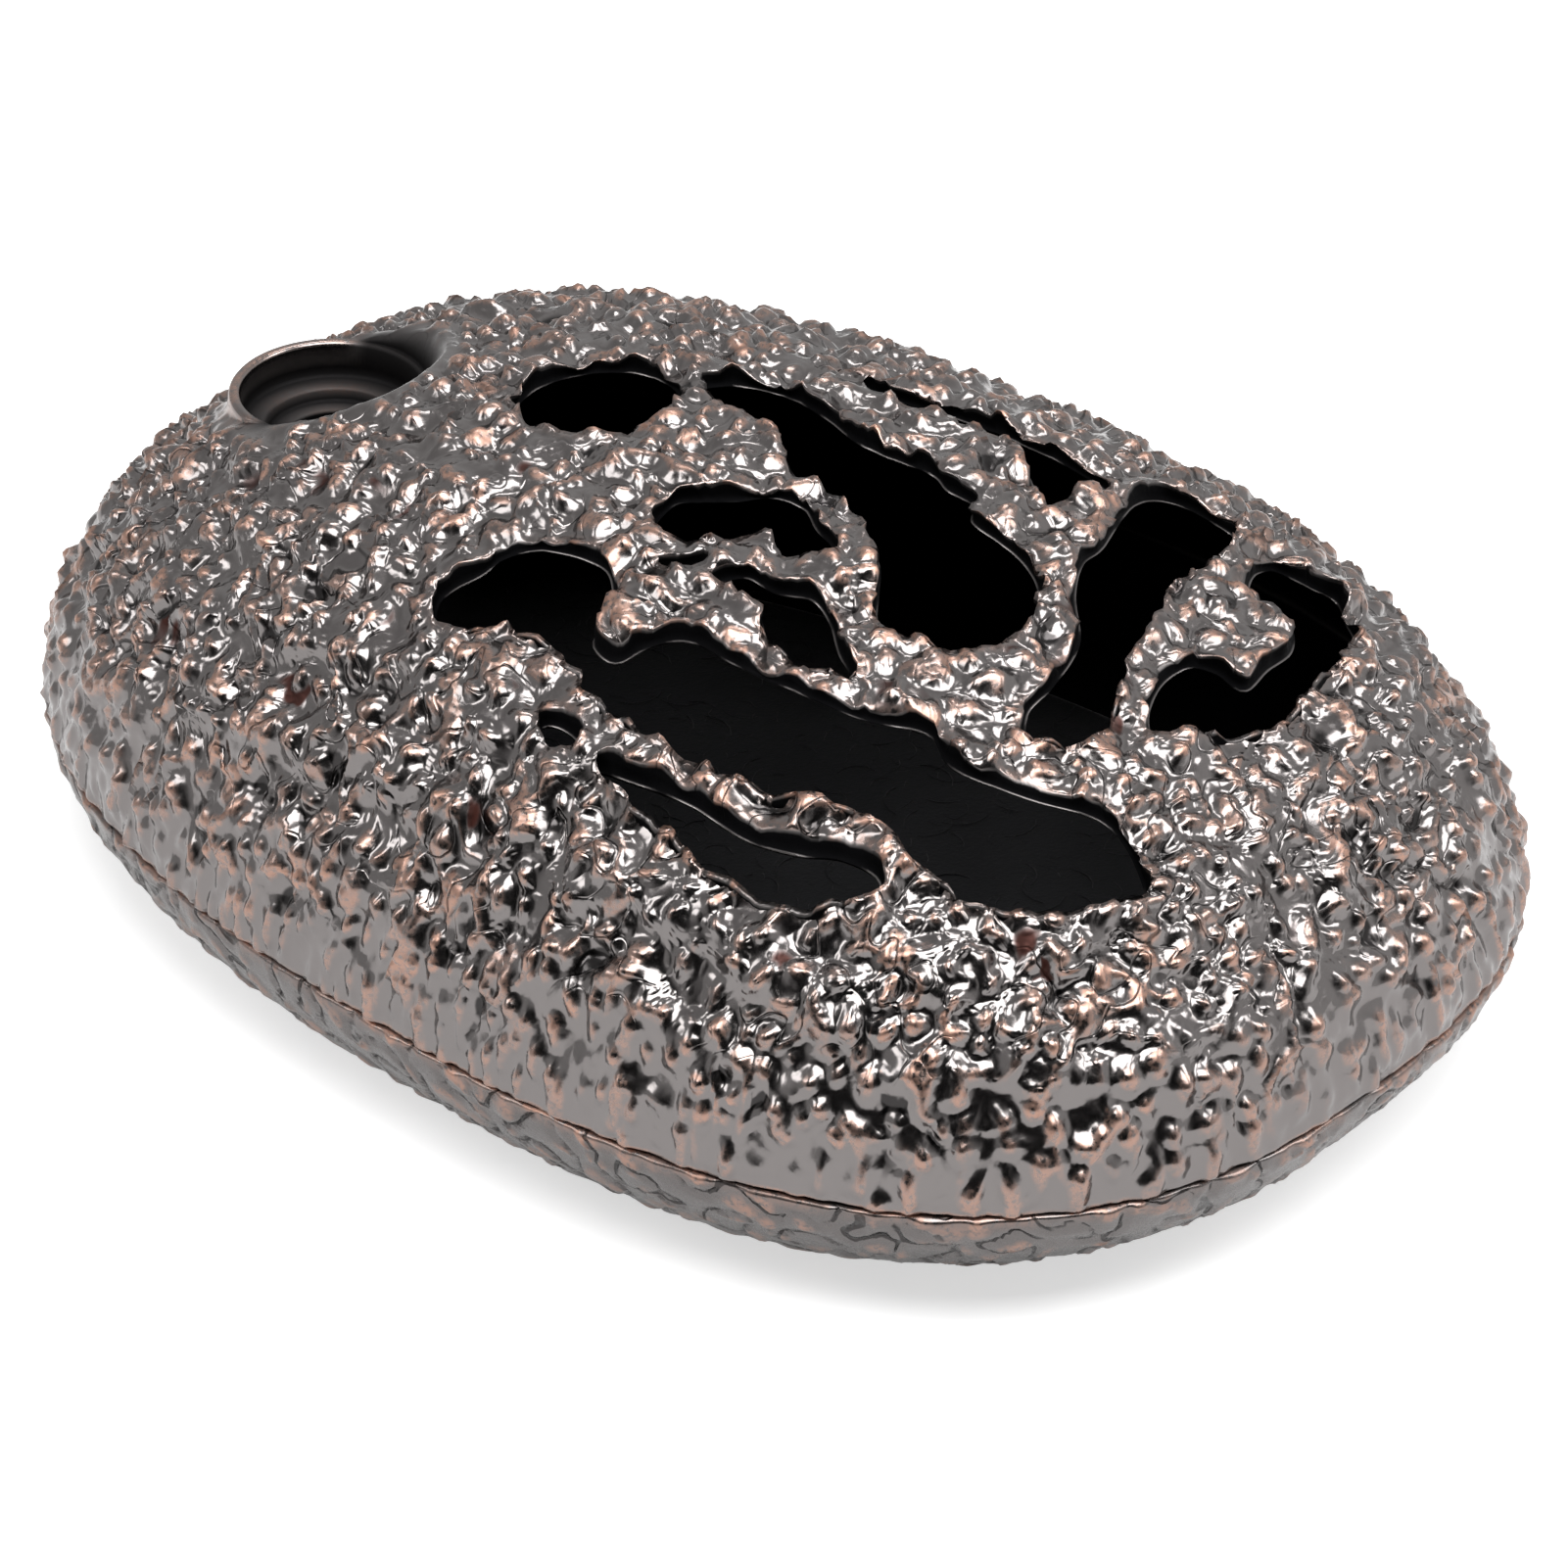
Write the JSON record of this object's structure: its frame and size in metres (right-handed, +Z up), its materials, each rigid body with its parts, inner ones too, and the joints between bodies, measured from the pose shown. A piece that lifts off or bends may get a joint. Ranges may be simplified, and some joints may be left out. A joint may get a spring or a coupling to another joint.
{
  "type": "backflow incense burner",
  "caption": "Pebble-shaped cast backflow incense burner: pierced dome lid with a sunken stepped cone seat, shallow tray with a locating lip, loose fire mat and small pads.",
  "frame": {"origin": "middle of the footprint, on the surface that the burner stands on", "axes": "+X along the length towards the wide end, +Y across to the side with the narrow slot, +Z up; the cone seat is at the -X end"},
  "size_m": [0.121, 0.085, 0.043],
  "materials": {
    "lid_casting": "glossy gunmetal plating over a bubbled cast skin, rubbed through to copper on the high points",
    "tray_casting": "glossy gunmetal plating over a wrinkled cast skin, rubbed through to copper at the lip",
    "fire_felt": "matt black needled felt",
    "pad_rubber": "matt black rubber"
  },
  "bodies": {
    "tray": {"tray": "tray_casting", "foot_pads": "pad_rubber"},
    "lid": {"lid": "lid_casting"},
    "mat": {"fire_mat": "fire_felt"}
  },
  "joints": [
    {"name": "lid_lift", "type": "slide", "parent": "tray", "child": "lid", "axis": [0, 0, 1], "range_m": [0, 0.06]},
    {"name": "mat_lift", "type": "slide", "parent": "tray", "child": "mat", "axis": [0, 0, 1], "range_m": [0, 0.018]}
  ]
}
